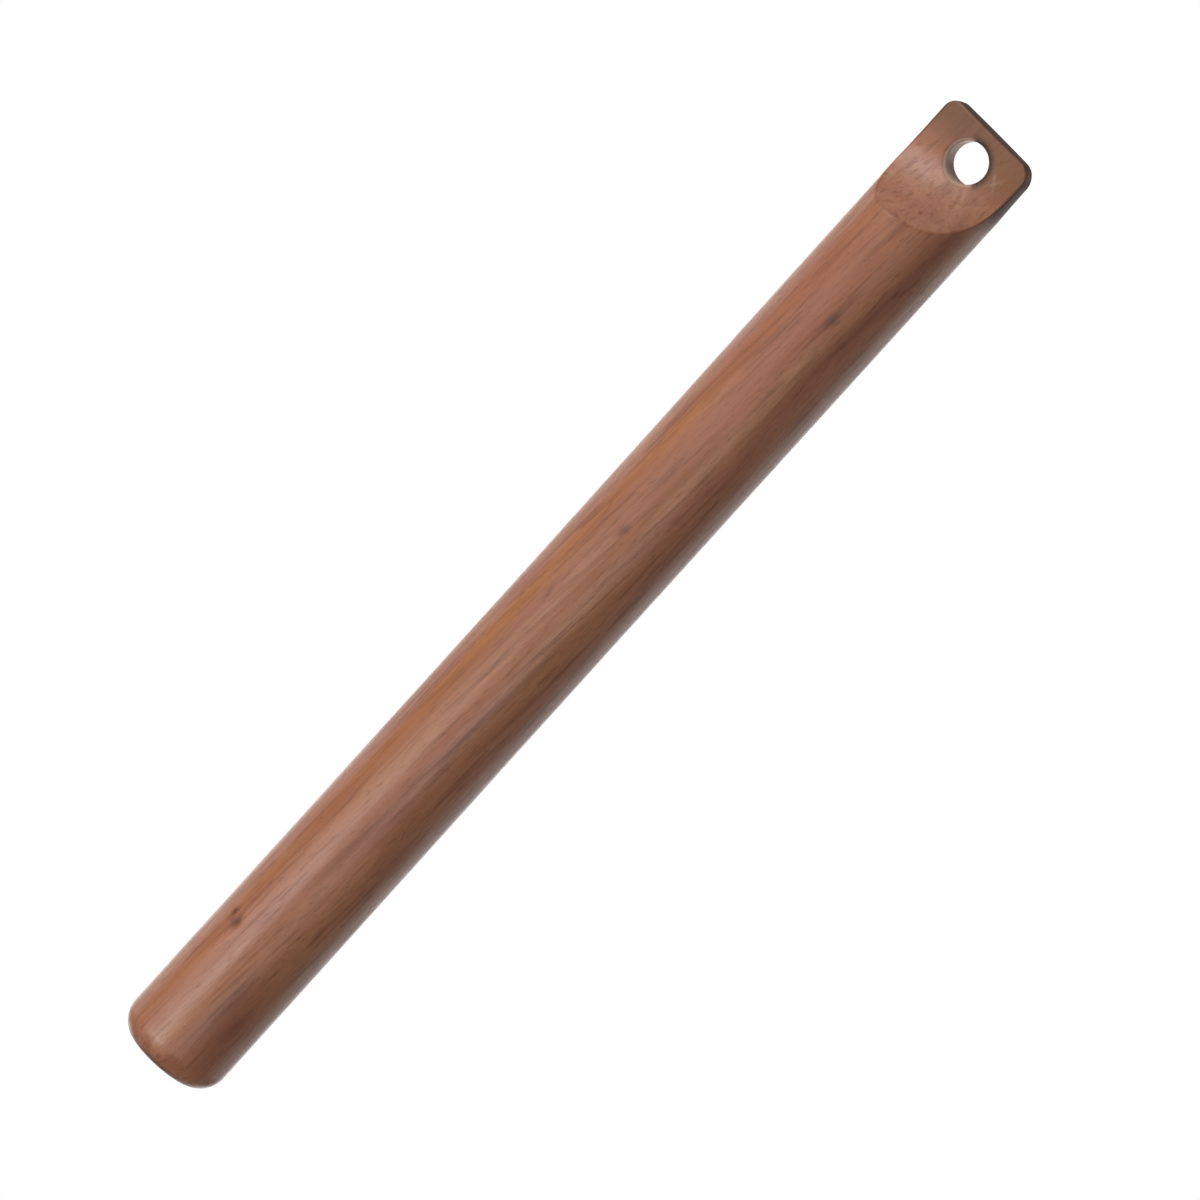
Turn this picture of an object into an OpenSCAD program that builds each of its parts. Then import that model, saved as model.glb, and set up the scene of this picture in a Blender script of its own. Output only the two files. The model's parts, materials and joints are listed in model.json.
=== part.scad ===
// Bar muddler: one stick of turned hardwood with a rounded muddling foot at the bottom and,
// at the top, a thin hanging tab that two ramped flats cut out of the round shaft.
// The shaft stands along +Z on its foot, and the hanging hole runs along Y.

/* [Shaft] */
// Overall length, from the muddling foot to the hanging end
length = 203; // [150:1:305]
// Diameter of the turned shaft
shaft_d = 19; // [15:0.5:29]
// Radius that rounds over the edge of the muddling foot
foot_round = 4.6; // [1:0.1:6]

/* [Hanging tab] */
// Thickness of wood left between the two flats
tab_t = 4.2; // [3:0.1:8]
// Distance below the hanging end at which a flat meets its ramp
tab_h = 11; // [9:0.1:20]
// Angle between a ramp and the shaft's axis
ramp_angle = 41; // [20:1:55]
// Radius of the hollow that blends a ramp into its flat
ramp_blend = 6; // [1:0.5:8]
// Radius of the two rounded corners of the tab
corner_r = 3.2; // [1:0.1:5]

/* [Hanging hole] */
// Diameter of the drilled hole
hole_d = 7.1; // [3:0.1:8]
// Distance from the hanging end to the middle of the hole
hole_drop = 6.2; // [6:0.1:9]

/* [Hidden] */
$fn = 96;
shaft_r = shaft_d / 2;
half_t = tab_t / 2;
knee_z = length - tab_h;        // where the flat and the ramp would meet without their blend
clear = 1;                      // how far each cutter reaches past the wood
corner_lead = 0.15;             // a corner's arc starts this far outside the shaft, so it meets the side at an angle
blend_steps = 12;               // straight steps that make up the hollow between ramp and flat
wood = [0.55, 0.36, 0.28];

// The turned blank: half of the lathe outline, spun about the shaft's axis
module turned_blank() {
    rotate_extrude() {
        translate([0, foot_round]) square([shaft_r, length - foot_round]);
        square([shaft_r - foot_round, foot_round]);
        intersection() {
            translate([shaft_r - foot_round, foot_round]) circle(foot_round);
            translate([shaft_r - foot_round, 0]) square(foot_round);
        }
    }
}

// What is cut away on one side of the tab, seen from the side: x is distance from the
// tab's middle plane and y is height. The knee between flat and ramp is a hollow arc.
module relief_outline() {
    outer = shaft_r + clear;
    ramp_low = knee_z - (outer - half_t) / tan(ramp_angle);
    centre = [half_t + ramp_blend, knee_z + ramp_blend * tan(ramp_angle / 2)];
    knee = [
        for (i = [0:blend_steps])
            let (turn = 180 + ramp_angle * i / blend_steps)
            centre + ramp_blend * [cos(turn), sin(turn)]
    ];
    polygon(concat([[half_t, length + clear]], knee, [[outer, ramp_low], [outer, length + clear]]));
}

// Cutter for the flat and the ramp on the +Y side
module tab_relief() {
    rotate([90, 0, 90])
        linear_extrude(shaft_d + 2 * clear, center = true) relief_outline();
}

// Cutter that leaves one rounded top corner, on the +X side
module tab_corner() {
    rotate([90, 0, 0]) linear_extrude(shaft_d, center = true)
        translate([shaft_r + corner_lead - corner_r, length - corner_r]) difference() {
            square(corner_r + clear);
            circle(corner_r);
        }
}

// Cutter for the drilled hole
module hanging_hole() {
    translate([0, 0, length - hole_drop])
        rotate([90, 0, 0]) cylinder(h = shaft_d, d = hole_d, center = true);
}

module muddler_body() {
    color(wood) difference() {
        turned_blank();
        tab_relief();
        mirror([0, 1, 0]) tab_relief();
        tab_corner();
        mirror([1, 0, 0]) tab_corner();
        hanging_hole();
    }
}

muddler_body();
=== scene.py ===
"""Looks of the bar muddler: one stick of turned hardwood with a walnut-brown stain and a satin lacquer.

The stick is made by one Geometry Nodes tree from the lathe and saw rules that shape the real one, in the
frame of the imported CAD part, and it stands for the CAD node muddler_body. All lengths are metres.
"""

import json
import math

import bpy
from mathutils import Matrix, Vector


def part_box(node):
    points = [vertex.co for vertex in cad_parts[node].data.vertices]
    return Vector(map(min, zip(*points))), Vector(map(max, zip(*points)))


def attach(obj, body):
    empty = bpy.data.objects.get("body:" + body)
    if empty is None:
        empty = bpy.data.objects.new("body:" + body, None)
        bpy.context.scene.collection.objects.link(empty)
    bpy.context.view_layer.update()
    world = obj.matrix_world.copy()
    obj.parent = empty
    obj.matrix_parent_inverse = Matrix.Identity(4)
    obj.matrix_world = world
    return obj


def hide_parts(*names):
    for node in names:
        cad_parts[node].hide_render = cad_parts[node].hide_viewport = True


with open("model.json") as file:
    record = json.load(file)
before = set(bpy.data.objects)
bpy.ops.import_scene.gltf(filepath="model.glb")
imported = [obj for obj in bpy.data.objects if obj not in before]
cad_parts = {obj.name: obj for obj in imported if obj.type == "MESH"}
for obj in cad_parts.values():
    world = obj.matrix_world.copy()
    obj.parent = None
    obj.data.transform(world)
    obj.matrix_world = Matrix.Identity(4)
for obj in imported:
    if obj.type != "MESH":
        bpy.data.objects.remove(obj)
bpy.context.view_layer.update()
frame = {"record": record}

MM = 0.001


# ---------------------------------------------------------------- sizes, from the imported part

low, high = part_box("muddler_body")
mounts = {m["name"]: m for m in frame["record"]["mounts"]}
hole = mounts["hanging_hole"]

LENGTH = high.z - low.z
SHAFT_R = (high.x - low.x) / 2
HOLE_R = hole["dims"]["r_mm"] * MM
HOLE_Z = hole["pos_m"][2]
HALF_TAB = hole["dims"]["length_mm"] * MM / 2

FOOT_ROUND = 4.6 * MM          # rounding of the muddling foot's edge
TAB_DEPTH = 11.0 * MM          # from the hanging end down to where flat and ramp would meet
RAMP_ANGLE = math.radians(41)  # between a ramp and the shaft's axis
RAMP_BLEND = 6.5 * MM          # depth over which the ramp eases into the flat
LEFT_CORNER = 2.3 * MM         # the tab's corners are sanded by hand, and one is fuller than the other
RIGHT_CORNER = 3.1 * MM
EDGE_ROUND = 0.55 * MM         # sanded edge around the hanging end
SIDE_SOFT = 0.4 * MM           # sanded edge where the flats meet the round of the shaft
RAMP_SOFT = 0.12 * MM          # the same where the ramps run out into the shaft
RIM_ROUND = 0.70 * MM          # sanded rim of the hole
RAMP_SKEW = 0.22               # the ramps start this much higher for each millimetre towards +X
RAMP_CROWN = 0.30              # and how much more for each millimetre that a ramp has risen
CROWN = 0.6 * MM               # how far each flat falls off from its middle to the tab's long edges
WAIST = 0.13 * MM              # how much the sander took off the shaft's radius at mid length
WAVER = 0.04 * MM              # depth of the long, soft unevenness that sanding leaves
WAVER_LONG = 40.0 * MM         # it changes as much over this length as over one radius round the shaft
KNOT_TURN = math.radians(-20)  # where the pin knot sits round the shaft, from -Y towards +X
KNOT_Z = 26.7 * MM
KNOT_DEPTH = 0.15 * MM
KNOT_ACROSS = 0.7 * MM         # the knot's half width and half length
KNOT_ALONG = 0.9 * MM


def node(tree, kind, inputs=(), **settings):
    """Adds one node. settings are its properties; inputs maps a socket to a value, a socket or a node."""
    made = tree.nodes.new(kind)
    for name, value in settings.items():
        setattr(made, name, value)
    for key, value in dict(inputs).items():
        if isinstance(value, bpy.types.Node):
            value = value.outputs[0]
        if isinstance(value, bpy.types.NodeSocket):
            tree.links.new(value, made.inputs[key])
        else:
            made.inputs[key].default_value = value
    return made


MATH, VECTOR = "ShaderNodeMath", "ShaderNodeVectorMath"
MIX, RANGE = "ShaderNodeMix", "ShaderNodeMapRange"


# ---------------------------------------------------------------- the stick's shape

AROUND = 192        # points round the shaft
ROWS = 320          # rows from foot to hanging end
FOOT_ROWS = 0.05    # the foot's rounding takes the first rows, up to this share of them
SHAFT_ROWS = 0.60   # then the plain shaft up to this share
TAB_ROWS = 0.92     # then ramps and tab, and the rounded corners take the rest
END_FACE_RINGS = 6
DRILL_AROUND = 96
DRILL_ROWS = 24
DRILL_STRAIGHT = 0.1          # share of each half's rows in the straight bore, and again past its rim
SQUARE_ON = math.radians(82)  # the hole's rim turns this far from the bore towards the face
PAST_FACE = 1.0 * MM          # how far the cutter reaches past the wood


def flat_height(tree, size, x, z):
    """Distance of a flat or ramp from the tab's middle plane, at width x and height z."""
    skewed = node(tree, MATH, {0: x, 1: size["Ramp Skew"], 2: size["Knee Height"]}, operation="MULTIPLY_ADD")
    under = node(tree, MATH, {0: skewed, 1: z}, operation="SUBTRACT")
    ramp = node(tree, MATH, {0: under, 1: size["Ramp Slope"]}, operation="MULTIPLY")
    eased = node(tree, MATH, {0: ramp, 1: 0.0, 2: size["Ramp Blend"]}, operation="SMOOTH_MAX")
    across = node(tree, MATH, {0: x, 1: size["Shaft Radius"]}, operation="DIVIDE")
    square = node(tree, MATH, {0: across, 1: across}, operation="MULTIPLY")
    crown = node(tree, MATH, {0: eased, 1: size["Ramp Crown"], 2: size["Crown"]}, operation="MULTIPLY_ADD")
    thinner = node(tree, MATH, {0: square, 1: crown}, operation="MULTIPLY")
    middle = node(tree, MATH, {0: eased, 1: size["Half Thickness"]}, operation="ADD")
    return node(tree, MATH, {0: middle, 1: thinner}, operation="SUBTRACT")


def stick_body(tree, size):
    """The turned and flatted stick before it is drilled: a tube whose rows are led along the outline."""
    tube = node(tree, "GeometryNodeMeshCylinder", {"Vertices": AROUND, "Side Segments": ROWS,
                "Fill Segments": END_FACE_RINGS, "Radius": 1.0, "Depth": 1.0}, fill_type="TRIANGLE_FAN")
    place = node(tree, "ShaderNodeSeparateXYZ", {0: node(tree, "GeometryNodeInputPosition")})
    px, py, pz = place.outputs
    ring = node(tree, MATH, {0: px, 1: px}, operation="MULTIPLY")
    ring = node(tree, MATH, {0: py, 1: py, 2: ring}, operation="MULTIPLY_ADD")
    ring = node(tree, MATH, {0: ring}, operation="SQRT")      # 1 on the side, less inside the two end faces
    cos = node(tree, MATH, {0: px, 1: ring}, operation="DIVIDE")
    sin = node(tree, MATH, {0: py, 1: ring}, operation="DIVIDE")
    way = node(tree, MATH, {0: pz, 1: 0.5}, operation="ADD")  # 0 at the foot, 1 at the hanging end

    # height: round the foot's edge, up the shaft, up the tab, round its corners
    foot_turn = node(tree, RANGE, {0: way, 1: 0.0, 2: FOOT_ROWS, 3: 0.0, 4: math.pi / 2})
    foot_cos = node(tree, MATH, {0: foot_turn}, operation="COSINE")
    foot_up = node(tree, MATH, {0: 1.0, 1: foot_cos}, operation="SUBTRACT")
    foot_up = node(tree, MATH, {0: foot_up, 1: size["Foot Round"]}, operation="MULTIPLY")
    tab_low = node(tree, MATH, {0: size["Shaft Radius"], 1: size["Ramp Slope"]}, operation="DIVIDE")
    tab_low = node(tree, MATH, {0: size["Knee Height"], 1: tab_low}, operation="SUBTRACT")
    shaft_span = node(tree, MATH, {0: tab_low, 1: size["Foot Round"]}, operation="SUBTRACT")
    tab_span = node(tree, MATH, {0: size["Length"], 1: tab_low}, operation="SUBTRACT")
    corner_side = node(tree, RANGE, {0: cos, 1: -1.0, 2: 1.0, 3: size["Left Corner"],
                       4: size["Right Corner"]})
    tab_span = node(tree, MATH, {0: tab_span, 1: corner_side}, operation="SUBTRACT")
    shaft_up = node(tree, RANGE, {0: way, 1: FOOT_ROWS, 2: SHAFT_ROWS, 3: 0.0, 4: shaft_span})
    tab_up = node(tree, RANGE, {0: way, 1: SHAFT_ROWS, 2: TAB_ROWS, 3: 0.0, 4: tab_span})
    corner_turn = node(tree, RANGE, {0: way, 1: TAB_ROWS, 2: 1.0, 3: 0.0, 4: math.pi / 2})
    corner_sin = node(tree, MATH, {0: corner_turn}, operation="SINE")
    corner_up = node(tree, MATH, {0: corner_sin, 1: corner_side}, operation="MULTIPLY")
    z = node(tree, MATH, {0: foot_up, 1: shaft_up}, operation="ADD")
    z = node(tree, MATH, {0: z, 1: tab_up}, operation="ADD")
    z = node(tree, MATH, {0: z, 1: corner_up}, operation="ADD")

    # radius: full on the shaft, less round the foot's edge, a trace less at mid length
    foot_sin = node(tree, MATH, {0: foot_turn}, operation="SINE")
    foot_in = node(tree, MATH, {0: 1.0, 1: foot_sin}, operation="SUBTRACT")
    foot_in = node(tree, MATH, {0: foot_in, 1: size["Foot Round"]}, operation="MULTIPLY")
    level = node(tree, RANGE, {0: z, 1: 0.0, 2: size["Length"], 3: -1.0, 4: 1.0})
    level = node(tree, MATH, {0: level, 1: level}, operation="MULTIPLY")
    waist = node(tree, MATH, {0: 1.0, 1: level}, operation="SUBTRACT")
    waist = node(tree, MATH, {0: waist, 1: 2.0}, operation="POWER")
    waist = node(tree, MATH, {0: waist, 1: size["Waist"]}, operation="MULTIPLY")
    radius = node(tree, MATH, {0: size["Shaft Radius"], 1: foot_in}, operation="SUBTRACT")
    radius = node(tree, MATH, {0: radius, 1: waist}, operation="SUBTRACT")

    # long soft unevenness of the sanded surface, always cut into the wood
    waves = node(tree, MATH, {0: z, 1: 1 / WAVER_LONG}, operation="MULTIPLY")
    along = node(tree, "ShaderNodeCombineXYZ", {0: cos, 1: sin, 2: waves})
    noise = node(tree, "ShaderNodeTexNoise", {"Vector": along, "Scale": 1.3, "Detail": 1.0,
                 "Roughness": 0.4})
    waver = node(tree, MATH, {0: noise, 1: size["Waver"]}, operation="MULTIPLY")
    radius = node(tree, MATH, {0: radius, 1: waver}, operation="SUBTRACT")

    # the pin knot: a small sunk spot, longer along the grain than across it
    front = node(tree, MATH, {0: sin, 1: -1.0}, operation="MULTIPLY")
    turn = node(tree, MATH, {0: cos, 1: front}, operation="ARCTAN2")
    aside = node(tree, MATH, {0: turn, 1: size["Knot Turn"]}, operation="SUBTRACT")
    aside = node(tree, MATH, {0: aside, 1: SHAFT_R / KNOT_ACROSS}, operation="MULTIPLY")
    above = node(tree, MATH, {0: z, 1: size["Knot Height"]}, operation="SUBTRACT")
    above = node(tree, MATH, {0: above, 1: 1 / KNOT_ALONG}, operation="MULTIPLY")
    far = node(tree, MATH, {0: aside, 1: aside}, operation="MULTIPLY")
    far = node(tree, MATH, {0: above, 1: above, 2: far}, operation="MULTIPLY_ADD")
    pit = node(tree, MATH, {0: 1 / math.e, 1: far}, operation="POWER")
    pit = node(tree, MATH, {0: pit, 1: size["Knot Depth"]}, operation="MULTIPLY")
    radius = node(tree, MATH, {0: radius, 1: pit}, operation="SUBTRACT")

    # width narrows round the tab's corners
    corner_cos = node(tree, MATH, {0: corner_turn}, operation="COSINE")
    narrow = node(tree, MATH, {0: 1.0, 1: corner_cos}, operation="SUBTRACT")
    narrow = node(tree, MATH, {0: narrow, 1: corner_side}, operation="MULTIPLY")
    width = node(tree, MATH, {0: radius, 1: narrow}, operation="SUBTRACT")
    x = node(tree, MATH, {0: width, 1: cos}, operation="MULTIPLY")

    # depth is the round of the shaft, or the flat where that lies lower; the end's edge is rounded over
    edge_low = node(tree, MATH, {0: size["Length"], 1: size["Edge Round"]}, operation="SUBTRACT")
    edge_up = node(tree, MATH, {0: z, 1: edge_low}, operation="SUBTRACT")
    edge_up = node(tree, MATH, {0: edge_up, 1: 0.0}, operation="MAXIMUM")
    edge_square = node(tree, MATH, {0: size["Edge Round"], 1: 2.0}, operation="POWER")
    up_square = node(tree, MATH, {0: edge_up, 1: 2.0}, operation="POWER")
    edge_left = node(tree, MATH, {0: edge_square, 1: up_square}, operation="SUBTRACT")
    edge_left = node(tree, MATH, {0: edge_left, 1: 0.0}, operation="MAXIMUM")
    edge_left = node(tree, MATH, {0: edge_left}, operation="SQRT")
    edge_in = node(tree, MATH, {0: size["Edge Round"], 1: edge_left}, operation="SUBTRACT")
    flat = node(tree, MATH, {0: flat_height(tree, size, x, z), 1: edge_in}, operation="SUBTRACT")
    round_y = node(tree, MATH, {0: sin}, operation="ABSOLUTE")
    round_y = node(tree, MATH, {0: radius, 1: round_y}, operation="MULTIPLY")
    soft = node(tree, RANGE, {0: z, 1: tab_low, 2: size["Knee Height"], 3: size["Ramp Soft"],
                4: size["Side Soft"]})
    depth = node(tree, MATH, {0: round_y, 1: flat, 2: soft}, operation="SMOOTH_MIN")
    side = node(tree, MATH, {0: sin}, operation="SIGN")
    y = node(tree, MATH, {0: depth, 1: side}, operation="MULTIPLY")

    x = node(tree, MATH, {0: x, 1: ring}, operation="MULTIPLY")
    y = node(tree, MATH, {0: y, 1: ring}, operation="MULTIPLY")
    where = node(tree, "ShaderNodeCombineXYZ", {0: x, 1: y, 2: z})
    return node(tree, "GeometryNodeSetPosition", {"Geometry": tube, "Position": where})


def hole_cutter(tree, size):
    """What the drill and the sanded rims take out: a bore whose ends flare as they come to the flats."""
    tube = node(tree, "GeometryNodeMeshCylinder", {"Vertices": DRILL_AROUND, "Side Segments": DRILL_ROWS,
                "Radius": 1.0, "Depth": 2.0}, fill_type="NGON")
    place = node(tree, "ShaderNodeSeparateXYZ", {0: node(tree, "GeometryNodeInputPosition")})
    px, py, pz = place.outputs
    way = node(tree, MATH, {0: pz}, operation="ABSOLUTE")
    side = node(tree, MATH, {0: pz}, operation="SIGN")
    turn = node(tree, RANGE, {0: way, 1: DRILL_STRAIGHT, 2: 1 - DRILL_STRAIGHT, 3: 0.0, 4: SQUARE_ON})
    flare = node(tree, MATH, {0: turn}, operation="COSINE")
    flare = node(tree, MATH, {0: 1.0, 1: flare}, operation="SUBTRACT")
    flare = node(tree, MATH, {0: flare, 1: size["Rim Round"]}, operation="MULTIPLY")
    radius = node(tree, MATH, {0: size["Hole Radius"], 1: flare}, operation="ADD")
    x = node(tree, MATH, {0: px, 1: radius}, operation="MULTIPLY")
    z = node(tree, MATH, {0: py, 1: radius}, operation="MULTIPLY")
    z = node(tree, MATH, {0: z, 1: size["Hole Height"]}, operation="ADD")
    face = flat_height(tree, size, x, z)
    start = node(tree, MATH, {0: face, 1: size["Rim Round"]}, operation="SUBTRACT")
    straight = node(tree, RANGE, {0: way, 1: 0.0, 2: DRILL_STRAIGHT, 3: 0.0, 4: start})
    arc = node(tree, MATH, {0: turn}, operation="SINE")
    arc = node(tree, MATH, {0: arc, 1: size["Rim Round"]}, operation="MULTIPLY")
    beyond = node(tree, RANGE, {0: way, 1: 1 - DRILL_STRAIGHT, 2: 1.0, 3: 0.0, 4: PAST_FACE})
    y = node(tree, MATH, {0: straight, 1: arc}, operation="ADD")
    y = node(tree, MATH, {0: y, 1: beyond}, operation="ADD")
    y = node(tree, MATH, {0: y, 1: side}, operation="MULTIPLY")
    where = node(tree, "ShaderNodeCombineXYZ", {0: x, 1: y, 2: z})
    moved = node(tree, "GeometryNodeSetPosition", {"Geometry": tube, "Position": where})
    return node(tree, "GeometryNodeFlipFaces", {"Mesh": moved})


def muddler_tree(material):
    """The Geometry Nodes tree of the whole stick, with one named input for each of its sizes."""
    tree = bpy.data.node_groups.new("turned_muddler", "GeometryNodeTree")
    sizes = {"Length": LENGTH, "Shaft Radius": SHAFT_R, "Foot Round": FOOT_ROUND, "Half Thickness": HALF_TAB,
             "Knee Height": LENGTH - TAB_DEPTH, "Ramp Slope": math.tan(RAMP_ANGLE), "Ramp Blend": RAMP_BLEND,
             "Left Corner": LEFT_CORNER, "Right Corner": RIGHT_CORNER, "Edge Round": EDGE_ROUND,
             "Side Soft": SIDE_SOFT, "Ramp Soft": RAMP_SOFT, "Crown": CROWN,
             "Ramp Crown": RAMP_CROWN, "Ramp Skew": RAMP_SKEW,
             "Hole Radius": HOLE_R, "Hole Height": HOLE_Z, "Rim Round": RIM_ROUND, "Waist": WAIST,
             "Waver": WAVER, "Knot Turn": KNOT_TURN, "Knot Height": KNOT_Z, "Knot Depth": KNOT_DEPTH}
    keys = {name: tree.interface.new_socket(name, in_out="INPUT", socket_type="NodeSocketFloat").identifier
            for name in sizes}
    tree.interface.new_socket("Geometry", in_out="OUTPUT", socket_type="NodeSocketGeometry")
    size = tree.nodes.new("NodeGroupInput").outputs
    drilled = node(tree, "GeometryNodeMeshBoolean", {"Mesh 1": stick_body(tree, size),
                   "Mesh 2": hole_cutter(tree, size)}, operation="DIFFERENCE", solver="EXACT")
    smooth = node(tree, "GeometryNodeSetShadeSmooth", {"Geometry": drilled})
    real = node(tree, "GeometryNodeRealizeInstances", {"Geometry": smooth})
    dressed = node(tree, "GeometryNodeSetMaterial", {"Geometry": real, "Material": material})
    node(tree, "NodeGroupOutput", {0: dressed})
    return tree, {keys[name]: value for name, value in sizes.items()}


def grown(name, tree, inputs):
    """Runs a Geometry Nodes tree and returns its result as a plain mesh object, with no modifier left."""
    holder = bpy.data.objects.new(name + "_rule", bpy.data.meshes.new(name + "_rule"))
    bpy.context.scene.collection.objects.link(holder)
    modifier = holder.modifiers.new("rule", "NODES")
    modifier.node_group = tree
    for key, value in inputs.items():
        modifier[key] = value
    evaluated = holder.evaluated_get(bpy.context.evaluated_depsgraph_get())
    mesh = bpy.data.meshes.new_from_object(evaluated)
    mesh.name = name
    bpy.data.objects.remove(holder)
    piece = bpy.data.objects.new(name, mesh)
    bpy.context.scene.collection.objects.link(piece)
    return piece


# ---------------------------------------------------------------- the wood and its finish

# Lengths in the material are millimetres and angles are degrees, so its numbers read like the wood's own.
ROUND = SHAFT_R / MM
TALL = LENGTH / MM
HOLE_UP = HOLE_Z / MM
BORE = HOLE_R / MM
ONE_DEGREE = ROUND * math.pi / 180   # length of a degree round the shaft
GRAIN_SLOPE = 0.07                   # the grain runs this much towards +X for each millimetre up the stick
GRAIN_WANDER = 3.2                   # and strays about half this far to either side
WANDER_SIZE = (1 / 11, 1 / 11, 1 / 46)   # one stray takes about 11 mm across the stick and 46 mm along it
PITH = (-15.0, 17.0)                 # middle of the tree, beside the stick, so the rings show as broad arcs
RING = 2.7                           # one year's growth
BUMP_DEPTH = 0.00006                 # metres, the unit of the Bump node
BUMP_STRENGTH = 0.35

# Noise drawn out along the grain: size across and along, detail, and the noise values that become 0 and 1.
# Pores of 0.1 by 1 mm are too fine to show, so they are drawn twice as wide and long.
GRAIN = {"drift": (4.5, 60, 2, 0.36, 0.64), "shade": (3.0, 34, 2, 0.34, 0.68),
         "streak": (0.8, 20, 3, 0.50, 0.70), "dash": (0.45, 5, 2, 0.56, 0.72),
         "fibre": (0.3, 7, 2, 0.30, 0.70), "pore": (0.22, 2, 1, 0.62, 0.74)}

# Single places in the grain: turn round the stick from -Y towards +X, height, half width, half length, how
# far the place turns for each millimetre up, and strength. WARM are orange streaks. The first three of DARK
# are pin knots, the next four are short flecks, and the rest are long dark streaks.
WARM = [(-25.6, 90, 11 * ONE_DEGREE, 110, 0.06, 1), (24, 24, 9 * ONE_DEGREE, 16, 0.0, 1)]
DARK = [(-31, 27.5, 0.6, 0.9, 0.0, 0.9), (-20, 26.7, 0.85, 1.2, 0.0, 0.95),
        (-25, 26.3, 1.6, 0.6, 2.5, 0.45), (-8, 100.7, 0.35, 1.8, -1.2, 0.50),
        (7, 116.7, 0.60, 1.4, 0.8, 0.80), (19, 129.7, 0.40, 2.6, 0.4, 0.35),
        (21, 164.7, 0.75, 1.8, 0.5, 0.75), (19, 50.7, 0.45, 16, 0.40, 0.38),
        (32, 81.7, 0.80, 14, 0.55, 0.45), (54, 83.7, 0.55, 12, 0.55, 0.40),
        (-27, 76.7, 0.55, 9, 1.00, 0.32), (16, 128.7, 0.90, 10, 0.40, 0.30),
        (48, 169.7, 1.10, 22, 0.50, 0.48), (-16, 152.7, 0.60, 10, 0.85, 0.35),
        (33, 15.7, 1.50, 6, 0.45, 0.42), (52, 13.7, 1.00, 4, 0.40, 0.50),
        (118, 61.7, 1.00, 24, 0.45, 0.45), (-120, 131.7, 0.90, 20, 0.50, 0.42),
        (168, 111.7, 0.80, 30, 0.30, 0.38), (-75, 46.7, 0.80, 15, 0.45, 0.32)]

# Fine scratches in the lacquer of the -Y flat: sideways place and height of the middle, lean, half length
SCRATCHES = [(5.5, 197.7, 38, 1.6), (5.7, 197.4, -32, 1.3), (3.4, 193.0, 40, 1.1)]
SCRATCH_WIDTH = 0.28

# What the patterns do. Colours are laid over the bare one in this order, each up to its strength. ROUGHER is
# added to the lacquer's own roughness, and RELIEF is how high a pattern stands, in bump depths.
BARE = "#A06950"
# Of these, the darkening near the hanging end, on the tab's narrow sides, at the ramps' crease and on the
# hole's upper rim is painted shade, and the pale colour in the bore is painted light.
COLOURS = [("drift", 0.60, "#9F6B40"), ("warm", 0.65, "#A06634"), ("late_wood", 0.42, "#8B5338"),
           ("shade", 0.40, "#8A4A2E"), ("streak", 0.62, "#6F3D26"), ("dash", 0.30, "#5E3320"),
           ("fibre", 0.22, "#6B3F2C"), ("pore", 0.38, "#4A281A"), ("dark", 1.00, "#48190A"),
           ("painted_end_shade", 1.00, "#603A1A"), ("end_grain", 0.78, "#41261A"), ("shaded_tab_sides", 0.75, "#3E2318"),
           ("painted_bore_light", 0.75, "#C4A794"), ("crease_dull_and_shaded", 0.14, "#5A3626"), ("painted_rim_shadow", 0.88, "#26130C"),
           ("scratch", 0.16, "#C8B0A4")]
SMOOTH = 0.38
ROUGHER = [("streak", 0.07), ("pore", 0.14), ("end_grain", 0.22), ("shade", 0.05), ("scratch", 0.15),
           ("near_end", 0.06), ("sanded", 0.16), ("crease_dull_and_shaded", 0.35), ("painted_rim_shadow", 0.30), ("shaded_tab_sides", 0.35)]
RELIEF = [("fibre", -0.35), ("pore", -0.8), ("streak", -0.5), ("dark", -1.2), ("scratch", -0.5)]


def linear(hex_colour):
    """A shader colour from an sRGB hex value."""
    parts = [int(hex_colour[i:i + 2], 16) / 255 for i in (1, 3, 5)]
    return [p / 12.92 if p <= 0.04045 else ((p + 0.055) / 1.055) ** 2.4 for p in parts] + [1.0]


def bell(tree, across, width, along, length):
    """1 at the middle of a mark, falling off smoothly over its width and length."""
    u = node(tree, MATH, {0: across, 1: width}, operation="DIVIDE")
    v = node(tree, MATH, {0: along, 1: length}, operation="DIVIDE")
    far = node(tree, MATH, {0: u, 1: u}, operation="MULTIPLY")
    far = node(tree, MATH, {0: v, 1: v, 2: far}, operation="MULTIPLY_ADD")
    return node(tree, MATH, {0: math.exp(-1), 1: far}, operation="POWER")


def spots(tree, turn, z, table):
    """The strongest of a table's single places in the grain, as 0 to 1."""
    strongest = 0.0
    for at, up, width, length, twist, strength in table:
        above = node(tree, MATH, {0: z, 1: up}, operation="SUBTRACT")
        swung = node(tree, MATH, {0: above, 1: twist, 2: at}, operation="MULTIPLY_ADD")
        aside = node(tree, MATH, {0: turn, 1: swung}, operation="SUBTRACT")
        spot = bell(tree, aside, width / ONE_DEGREE, above, length)
        spot = node(tree, MATH, {0: spot, 1: strength}, operation="MULTIPLY")
        strongest = node(tree, MATH, {0: strongest, 1: spot}, operation="MAXIMUM")
    return strongest


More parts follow.
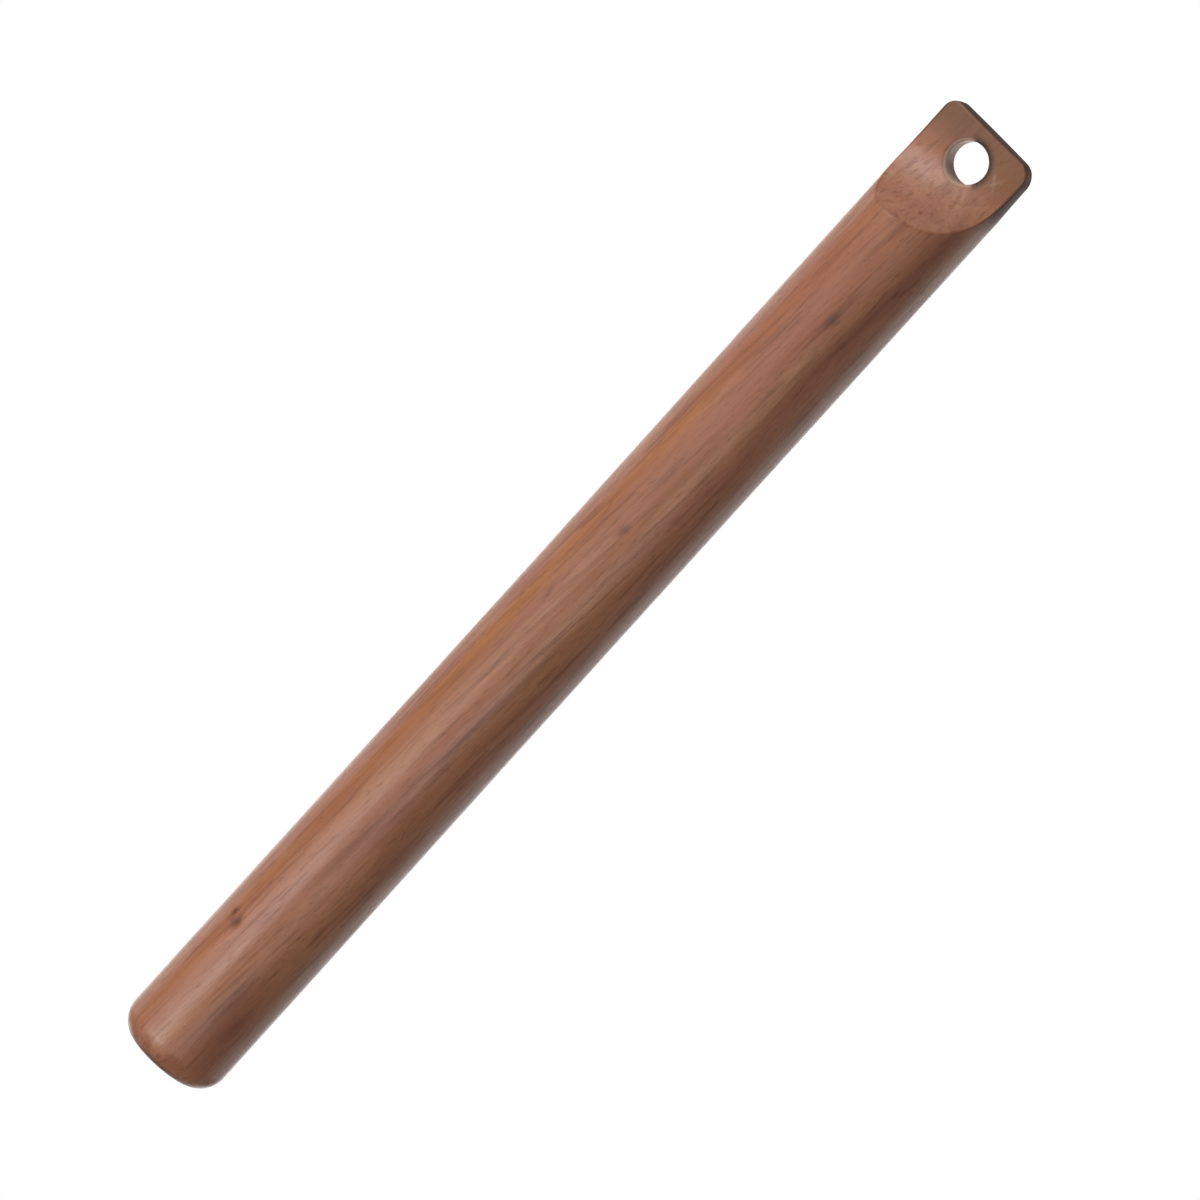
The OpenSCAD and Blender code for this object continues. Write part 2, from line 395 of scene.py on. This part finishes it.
def grain_patterns(tree, mm):
    """The patterns that follow the grain: growth rings, and the noises of the GRAIN table."""
    # grain space leans with the grain and wanders a little, so nothing runs dead straight
    slow = node(tree, VECTOR, {0: mm, 1: WANDER_SIZE}, operation="MULTIPLY")
    wander = node(tree, "ShaderNodeTexNoise", {"Vector": slow, "Scale": 1.0, "Detail": 2.0,
                  "Roughness": 0.5})
    stray = node(tree, VECTOR, {0: wander.outputs["Color"], 1: (0.5, 0.5, 0.5)}, operation="SUBTRACT")
    stray = node(tree, VECTOR, {0: stray, 1: (GRAIN_WANDER, GRAIN_WANDER, 0)}, operation="MULTIPLY")
    z = node(tree, "ShaderNodeSeparateXYZ", {0: mm}).outputs[2]
    lean = node(tree, MATH, {0: z, 1: -GRAIN_SLOPE}, operation="MULTIPLY")
    grain = node(tree, VECTOR, {0: mm, 1: node(tree, "ShaderNodeCombineXYZ", {0: lean})}, operation="ADD")
    grain = node(tree, VECTOR, {0: grain, 1: stray}, operation="ADD")

    # each ring is pale early wood that darkens to a line of late wood
    flat = node(tree, VECTOR, {0: grain, 1: (1, 1, 0), 2: (-PITH[0], -PITH[1], 0)}, operation="MULTIPLY_ADD")
    away = node(tree, VECTOR, {0: flat}, operation="LENGTH").outputs["Value"]
    year = node(tree, MATH, {0: node(tree, MATH, {0: away, 1: RING}, operation="DIVIDE")}, operation="FRACT")
    late = node(tree, RANGE, {0: year, 1: 0.35, 2: 0.93}, interpolation_type="SMOOTHSTEP")
    early = node(tree, RANGE, {0: year, 1: 1.0, 2: 0.94}, interpolation_type="SMOOTHSTEP")
    found = {"late_wood": node(tree, MATH, {0: late, 1: early}, operation="MULTIPLY")}

    for name, (across, along, detail, none, full) in GRAIN.items():
        scaled = node(tree, VECTOR, {0: grain, 1: (1 / across, 1 / across, 1 / along)}, operation="MULTIPLY")
        noise = node(tree, "ShaderNodeTexNoise", {"Vector": scaled, "Scale": 1.0, "Detail": detail,
                     "Roughness": 0.55})
        found[name] = node(tree, RANGE, {0: noise, 1: none, 2: full}, interpolation_type="SMOOTHSTEP")
    return found


def tab_patterns(tree, mm):
    """The patterns that belong to the ends, the ramps, the tab and its hole."""
    x, y, z = node(tree, "ShaderNodeSeparateXYZ", {0: mm}).outputs

    # end grain drinks more stain: the hanging end, the foot and the top and bottom of the hole
    normal = node(tree, "ShaderNodeNewGeometry").outputs["Normal"]
    face = node(tree, "ShaderNodeVectorTransform", {0: normal}, vector_type="NORMAL",
                convert_from="WORLD", convert_to="OBJECT")
    face_z = node(tree, "ShaderNodeSeparateXYZ", {0: face}).outputs[2]
    upright = node(tree, MATH, {0: face_z}, operation="ABSOLUTE")
    end_grain = node(tree, RANGE, {0: upright, 1: 0.67, 2: 0.92}, interpolation_type="SMOOTHSTEP")

    # towards the hanging end, at height TALL, painted shade darkens the wood, most of all on its -X side
    near_end = node(tree, RANGE, {0: z, 1: TALL - 11, 2: TALL - 2}, interpolation_type="SMOOTHSTEP")
    by_side = node(tree, RANGE, {0: x, 1: -ROUND, 2: ROUND, 3: 0.85, 4: 0.50})
    painted_end_shade = node(tree, MATH, {0: near_end, 1: by_side}, operation="MULTIPLY")

    # the ramps, sanded across the grain, are left rougher than the rest
    on_ramp = node(tree, RANGE, {0: z, 1: TALL - 36, 2: TALL - 28})
    sloped = node(tree, RANGE, {0: upright, 1: 0.08, 2: 0.45}, interpolation_type="SMOOTHSTEP")
    sanded = node(tree, MATH, {0: sloped, 1: on_ramp}, operation="MULTIPLY")

    # the crisp edge where a ramp runs out into the shaft is dull, and painted shade darkens it over its
    # highlight
    flat = node(tree, VECTOR, {0: mm, 1: (1, 1, 0)}, operation="MULTIPLY")
    out = node(tree, VECTOR, {0: flat}, operation="LENGTH").outputs["Value"]
    crease_dull_and_shaded = node(tree, RANGE, {0: out, 1: ROUND - 0.35, 2: ROUND - 0.1})
    crease_dull_and_shaded = node(tree, MATH, {0: crease_dull_and_shaded, 1: on_ramp}, operation="MULTIPLY")
    leaning = node(tree, RANGE, {0: upright, 1: 0.02, 2: 0.15})
    crease_dull_and_shaded = node(tree, MATH, {0: crease_dull_and_shaded, 1: leaning}, operation="MULTIPLY")

    # painted shade darkens the narrow sides of the tab, which are also rougher
    wide = node(tree, MATH, {0: x}, operation="ABSOLUTE")
    wide = node(tree, RANGE, {0: wide, 1: ROUND - 0.7, 2: ROUND - 0.2}, interpolation_type="SMOOTHSTEP")
    on_tab = node(tree, RANGE, {0: z, 1: TALL - 13, 2: TALL - 9})
    shaded_tab_sides = node(tree, MATH, {0: wide, 1: on_tab}, operation="MULTIPLY")

    # painted shadow on the upper +X part of the hole's rims, and painted light in the rest of the bore
    from_hole = node(tree, VECTOR, {0: mm, 1: (1, 0, 1), 2: (0, 0, -HOLE_UP)}, operation="MULTIPLY_ADD")
    reach = node(tree, VECTOR, {0: from_hole}, operation="LENGTH").outputs["Value"]
    upper = node(tree, VECTOR, {0: from_hole, 1: (0.75, 0, 0.65)}, operation="DOT_PRODUCT").outputs["Value"]
    upper = node(tree, RANGE, {0: upper, 1: 0.4, 2: 2.0}, interpolation_type="SMOOTHSTEP")
    past_rim = node(tree, MATH, {0: reach, 1: BORE + 0.3}, operation="SUBTRACT")
    rim = bell(tree, past_rim, 0.75, 0.0, 1.0)
    painted_rim_shadow = node(tree, MATH, {0: rim, 1: upper}, operation="MULTIPLY")
    # painted light: the bore away from its upper rim is painted pale
    inside = node(tree, RANGE, {0: reach, 1: BORE + 0.15, 2: BORE + 0.6, 3: 1.0, 4: 0.0})
    lower = node(tree, MATH, {0: 1.0, 1: upper}, operation="SUBTRACT")
    painted_bore_light = node(tree, MATH, {0: inside, 1: lower}, operation="MULTIPLY")

    scratch = 0.0
    for side, up, lean, length in SCRATCHES:
        cos, sin = math.cos(math.radians(lean)), math.sin(math.radians(lean))
        off = node(tree, VECTOR, {0: mm, 1: (side, 0, up)}, operation="SUBTRACT")
        across = node(tree, VECTOR, {0: off, 1: (cos, 0, sin)}, operation="DOT_PRODUCT").outputs["Value"]
        along = node(tree, VECTOR, {0: off, 1: (-sin, 0, cos)}, operation="DOT_PRODUCT").outputs["Value"]
        line = bell(tree, across, SCRATCH_WIDTH, along, length)
        scratch = node(tree, MATH, {0: scratch, 1: line}, operation="MAXIMUM")
    on_front = node(tree, MATH, {0: y, 1: -1.0}, operation="LESS_THAN")
    scratch = node(tree, MATH, {0: scratch, 1: on_front}, operation="MULTIPLY")

    return {"end_grain": end_grain, "near_end": near_end, "painted_end_shade": painted_end_shade, "sanded": sanded,
            "crease_dull_and_shaded": crease_dull_and_shaded, "shaded_tab_sides": shaded_tab_sides, "painted_rim_shadow": painted_rim_shadow, "painted_bore_light": painted_bore_light, "scratch": scratch}


def stained_hardwood():
    """Close-grained hardwood with a walnut-brown stain and a satin lacquer. To the eye it gives lengthwise
    streaks between pinkish and orange brown, soft growth bands, short pores, a few dark marks, darker end
    grain, and a sheen that the open grain breaks up."""
    material = bpy.data.materials.new("stained_hardwood")
    material.use_nodes = True
    tree = material.node_tree
    tree.nodes.clear()
    place = node(tree, "ShaderNodeTexCoord").outputs["Object"]
    mm = node(tree, VECTOR, {0: place, 1: (1000, 1000, 1000)}, operation="MULTIPLY")
    x, y, z = node(tree, "ShaderNodeSeparateXYZ", {0: mm}).outputs
    front = node(tree, MATH, {0: y, 1: -1}, operation="MULTIPLY")
    turn = node(tree, MATH, {0: x, 1: front}, operation="ARCTAN2")
    turn = node(tree, MATH, {0: turn, 1: 180 / math.pi}, operation="MULTIPLY")

    seen = {**grain_patterns(tree, mm), **tab_patterns(tree, mm)}
    seen["warm"] = spots(tree, turn, z, WARM)
    ragged = node(tree, RANGE, {0: seen["fibre"], 3: 1.0, 4: 0.62})   # fibres feather a mark's edges
    seen["dark"] = node(tree, MATH, {0: spots(tree, turn, z, DARK), 1: ragged}, operation="MULTIPLY")

    colour = linear(BARE)
    for name, strength, laid_over in COLOURS:
        much = node(tree, MATH, {0: seen[name], 1: strength}, operation="MULTIPLY")
        colour = node(tree, MIX, {0: much, 6: colour, 7: linear(laid_over)}, data_type="RGBA").outputs[2]
    rough = SMOOTH
    for name, more in ROUGHER:
        rough = node(tree, MATH, {0: seen[name], 1: more, 2: rough}, operation="MULTIPLY_ADD")
    relief = 0.0
    for name, stands in RELIEF:
        relief = node(tree, MATH, {0: seen[name], 1: stands, 2: relief}, operation="MULTIPLY_ADD")

    bump = node(tree, "ShaderNodeBump", {"Strength": BUMP_STRENGTH, "Distance": BUMP_DEPTH,
                "Height": relief})
    shader = node(tree, "ShaderNodeBsdfPrincipled", {"Base Color": colour, "Roughness": rough,
                  "Normal": bump, "IOR": 1.5, "Coat Weight": 0.3, "Coat Roughness": 0.3, "Coat IOR": 1.5})
    node(tree, "ShaderNodeOutputMaterial", {"Surface": shader})
    return material


# ---------------------------------------------------------------- stage, light and camera

VIEW_AZIMUTH = math.radians(18)
VIEW_ELEVATION = math.radians(10.8)
VIEW_ROLL = math.radians(42.13)   # the stick leans this far clockwise in the view
VIEW_WIDTH = 191.9 * MM           # width of what the camera sees, at the stick
LENS = 1000.0
SENSOR = 36.0
AIM_UP = 103.89 * MM              # what the camera looks at: this high, and this far right of the axis
AIM_RIGHT = 2.79 * MM
CLIP_NEAR = 0.1
CLIP_FAR = 20


def outward(azimuth, elevation):
    """Unit vector from the stick towards a place round it. Azimuth 0 is -Y and 90 degrees is +X."""
    return Vector((math.sin(azimuth) * math.cos(elevation), -math.cos(azimuth) * math.cos(elevation),
                   math.sin(elevation)))


def make_camera():
    """The camera of the main view, far off with a long lens, and rolled so that the stick leans."""
    back = outward(VIEW_AZIMUTH, VIEW_ELEVATION)
    right = Vector((math.cos(VIEW_AZIMUTH), math.sin(VIEW_AZIMUTH), 0))
    up = back.cross(right)
    aim = Vector((0, 0, AIM_UP)) + AIM_RIGHT * right
    place = aim + back * (LENS / SENSOR * VIEW_WIDTH)
    lean_up = math.cos(VIEW_ROLL) * up - math.sin(VIEW_ROLL) * right
    lean_right = math.cos(VIEW_ROLL) * right + math.sin(VIEW_ROLL) * up
    data = bpy.data.cameras.new("camera")
    data.lens, data.sensor_width = LENS, SENSOR
    data.clip_start, data.clip_end = CLIP_NEAR, CLIP_FAR
    camera = bpy.data.objects.new("camera", data)
    turned = Matrix((lean_right, lean_up, back)).transposed().to_4x4()
    camera.matrix_world = Matrix.Translation(place) @ turned
    bpy.context.scene.collection.objects.link(camera)
    bpy.context.scene.camera = camera


# Soft boxes round the stick, in degrees, metres and watts: turn from the camera's side, height of the middle,
# width, height of the box, power. The key stands low on the left, so its sheen is strongest near the foot.
LIGHT_REACH = 0.6
SKY = 0.234                       # soft light from all round
FLOOR_REACH = 3.0
LIGHTS = [("key", -33, -0.2, 0.22, 0.20, 1.42), ("key_wing", -58, -0.2, 0.25, 0.30, 0.50),
          ("foot_fill", -34, -0.6, 0.30, 0.30, 0.70), ("fill", 14, -0.1, 0.25, 0.30, 0.50),
          ("high_left", -62, 0.44, 0.30, 0.40, 2.90), ("rim_left", -130, 0.05, 0.50, 0.50, 0.55),
          ("back", 180, -0.15, 0.60, 0.50, 1.70), ("rim_right", 127, 0.1, 0.50, 0.50, 0.62),
          ("over", -50, 2.3, 0.60, 0.60, 6.0)]


def area_light(name, turn, height, width, tall, power):
    """One soft box, which faces the stick's middle."""
    data = bpy.data.lights.new(name, "AREA")
    data.shape, data.size, data.size_y, data.energy = "RECTANGLE", width, tall, power
    light = bpy.data.objects.new(name, data)
    out = LIGHT_REACH * outward(VIEW_AZIMUTH + math.radians(turn), 0) + Vector((0, 0, height - LENGTH / 2))
    light.location = Vector((0, 0, LENGTH / 2)) + out
    light.rotation_mode = "QUATERNION"
    light.rotation_quaternion = out.to_track_quat("Z", "Y")
    bpy.context.scene.collection.objects.link(light)


def make_world(strength):
    """The camera sees plain white all round, and the stick is lit by a dimmer white."""
    world = bpy.data.worlds.new("studio")
    world.use_nodes = True
    tree = world.node_tree
    tree.nodes.clear()
    seen = node(tree, "ShaderNodeBackground", {"Color": (1, 1, 1, 1), "Strength": 1.0})
    lights = node(tree, "ShaderNodeBackground", {"Color": (1, 1, 1, 1), "Strength": strength})
    path = node(tree, "ShaderNodeLightPath")
    both = node(tree, "ShaderNodeMixShader", {0: path.outputs["Is Camera Ray"], 1: lights, 2: seen})
    node(tree, "ShaderNodeOutputWorld", {"Surface": both})
    bpy.context.scene.world = world


def make_floor():
    """A plain white floor, which sends no light to the stick and takes no shadow from it."""
    mesh = bpy.data.meshes.new("floor")
    corners = [(x * FLOOR_REACH, y * FLOOR_REACH, 0) for x, y in ((-1, -1), (1, -1), (1, 1), (-1, 1))]
    mesh.from_pydata(corners, [], [(0, 1, 2, 3)])
    floor = bpy.data.objects.new("floor", mesh)
    bpy.context.scene.collection.objects.link(floor)
    material = bpy.data.materials.new("white_sweep")
    material.use_nodes = True
    tree = material.node_tree
    tree.nodes.clear()
    glow = node(tree, "ShaderNodeEmission", {"Color": (1, 1, 1, 1), "Strength": 1.0})
    node(tree, "ShaderNodeOutputMaterial", {"Surface": glow})
    mesh.materials.append(material)
    floor.visible_diffuse = floor.visible_glossy = floor.visible_shadow = False


# ---------------------------------------------------------------- everything together

make_camera()
make_world(SKY)
make_floor()
for soft_box in LIGHTS:
    area_light(*soft_box)

tree, inputs = muddler_tree(stained_hardwood())
muddler = grown("muddler", tree, inputs)
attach(muddler, "root")
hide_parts("muddler_body")

bpy.context.scene.view_settings.view_transform = "Standard"
bpy.context.scene.view_settings.look = "None"
